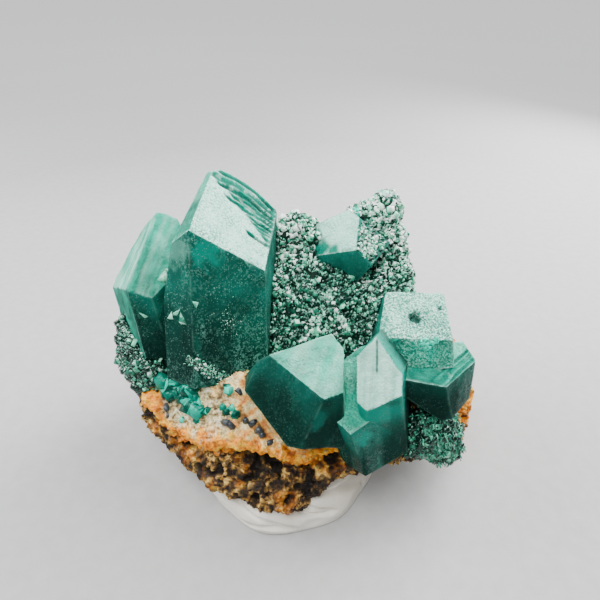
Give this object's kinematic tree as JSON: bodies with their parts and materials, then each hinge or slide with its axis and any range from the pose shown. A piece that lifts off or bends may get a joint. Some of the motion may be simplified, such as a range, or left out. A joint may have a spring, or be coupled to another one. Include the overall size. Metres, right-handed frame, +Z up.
{
  "type": "dioptase mineral specimen",
  "caption": "Cluster of dark green rhombohedral dioptase crystals with sparkling druse on iron-stained matrix, set in a foot of white mounting putty.",
  "frame": {"origin": "middle of the flat underside of the putty foot", "axes": "+Z up out of the foot, +X along the specimen's width, -Y towards the side that shows the best crystals"},
  "size_m": [0.0311, 0.0216, 0.0233],
  "materials": {
    "dioptase": "gloss",
    "teal_dioptase": "gloss",
    "druse": "satin",
    "rock": "matte",
    "putty": "matte"
  },
  "bodies": {
    "root": {"main_crystals": "dioptase", "front_crystals": "dioptase", "right_crystals": "dioptase", "back_crystal": "dioptase", "teal_crystals": "teal_dioptase", "druse_middle": "druse", "druse_left": "druse", "druse_right": "druse", "matrix": "rock", "putty_foot": "putty"}
  },
  "joints": []
}
